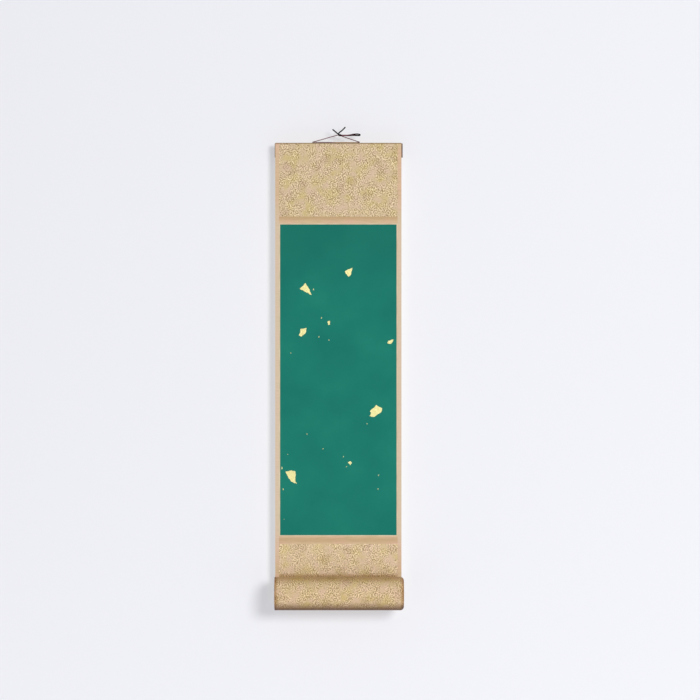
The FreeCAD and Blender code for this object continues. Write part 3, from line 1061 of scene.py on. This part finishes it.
def layLeaf():
    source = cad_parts["gold_leaf"]
    piece = bpy.data.objects.new("gold_flakes", source.data.copy())
    bpy.context.scene.collection.objects.link(piece)
    startEdit(piece)
    bpy.ops.mesh.select_all(action="SELECT")
    bpy.ops.mesh.remove_doubles(threshold=tiny)
    faceY = min(vertex.co.y for vertex in source.data.vertices)
    pick("FACE", lambda corners: any(corner.y > faceY + tiny for corner in corners))
    bpy.ops.mesh.delete(type="FACE")
    bpy.ops.mesh.select_all(action="SELECT")
    bpy.ops.mesh.subdivide(number_cuts=leaf["cuts"])
    bpy.ops.mesh.select_mode(type="EDGE")
    bpy.ops.mesh.select_all(action="DESELECT")
    bpy.ops.mesh.select_non_manifold()
    shape = bmesh.from_edit_mesh(piece.data)
    rim = {vertex.index for vertex in shape.verts if vertex.select}
    endEdit()
    group = piece.vertex_groups.new(name="rim")
    group.add(sorted(rim), 1.0, "REPLACE")
    slack = weigh(piece, "slack", slackAt)
    for direction, size in leaf["tearSize"].items():
        texture = bpy.data.textures.new("leafTear" + direction, "CLOUDS")
        texture.noise_scale = size
        modify(piece, "DISPLACE", texture=texture, texture_coords="LOCAL", direction=direction,
               strength=leaf["tear"], mid_level=0.5, vertex_group="rim")
    crumple = bpy.data.textures.new("leafCrumple", "CLOUDS")
    crumple.noise_scale = leaf["crumpleSize"]
    crumple.noise_depth = 3
    modify(piece, "DISPLACE", texture=crumple, texture_coords="LOCAL", direction="Y",
           strength=leaf["crumple"], mid_level=1.0)
    modify(piece, "DISPLACE", texture=waveTexture, texture_coords="LOCAL", direction="Y",
           strength=cloth["waveHeight"], mid_level=0.5, vertex_group=slack)
    modify(piece, "SOLIDIFY", thickness=leaf["thickness"], offset=0)
    return piece


goldFlakes = layLeaf()
paint(goldFlakes, goldFinish())
standFor(goldFlakes, "gold_leaf")
print("scroll: gold leaf laid")


# CAD nodes that keep their shape

# The stave is sawn off the heart of its tree, and the rod's rings lie a little off its axis
staveHeart = (0, 1000 * staveLow.y - 9, 1000 * staveZ + 4)
rodHeart = (0, 1000 * rodY + 3, 1000 * rodZ - 2)
paint(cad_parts["top_stave"], woodFinish("staveWood", staveHeart))
paint(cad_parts["roller_rod"], woodFinish("rodWood", rodHeart))
bronze = bronzeFinish()
for side in ("left", "right"):
    paint(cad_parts[side + "_eyelet"], bronze)


# Pale floor and wall, soft light

stage = {
    "wallBehind": 6 * mm,
    "floorBelow": 0.16,
    "size": 2.4,
    "pale": srgb(190, 190, 192),
    "glow": 0.375,
}


lights = {
    "key": {"place": (1.8, -4.0, 0.8), "size": 1.5, "power": 129.0},
    "back": {"place": (-1.6, 3.4, -0.1), "size": 1.4, "power": 40.0},
    "world": 0.41,
    "sky": srgb(243, 244, 250),
}


def addStage():
    wallY = max(staveHigh.y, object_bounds()[1].y) + stage["wallBehind"]
    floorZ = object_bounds()[0].z - stage["floorBelow"]
    lit = {"Specular_IOR_Level": 0.1, "Base_Color": stage["pale"], "Emission_Color": lights["sky"],
           "Emission_Strength": stage["glow"]}
    finish = Finish("paleWall", 0.9, **lit)
    # The wall is clear from behind, so the scroll's back can be seen through it
    behind = finish.node("NewGeometry").outputs["Backfacing"]
    clear = finish.node("BsdfTransparent").outputs[0]
    shown = finish.node("MixShader", {0: behind, 1: finish.shader.outputs[0], 2: clear}).outputs[0]
    finish.tree.links.new(shown, finish.tree.nodes["Material Output"].inputs["Surface"])
    onlySelect()
    bpy.ops.mesh.primitive_plane_add(size=stage["size"], location=(0, wallY, 0),
                                     rotation=(math.pi / 2, 0, 0))
    wall = named("pale_wall")
    paint(wall, finish.material)
    wall.visible_shadow = False
    onlySelect()
    bpy.ops.mesh.primitive_plane_add(size=stage["size"], location=(0, 0, floorZ))
    floor = named("pale_floor")
    paint(floor, Finish("paleFloor", 0.9, **lit).material)


def addLights():
    target = Vector((0, 0, camera["height"]))
    for name in ("key", "back"):
        light = lights[name]
        aim = (target - Vector(light["place"])).to_track_quat("-Z", "Y").to_euler()
        bpy.ops.object.light_add(type="AREA", location=light["place"], rotation=aim)
        lamp = named(name + "_light").data
        lamp.shape = "DISK"
        lamp.size = light["size"]
        lamp.energy = light["power"]
    world = bpy.data.worlds.new("paleRoom")
    bpy.context.scene.world = world
    world.use_nodes = True
    background = world.node_tree.nodes["Background"]
    background.inputs["Color"].default_value = lights["sky"]
    background.inputs["Strength"].default_value = lights["world"]
    bpy.context.scene.view_settings.view_transform = "Standard"


addStage()
addLights()
print("scroll: stage and lights set")

onlySelect()
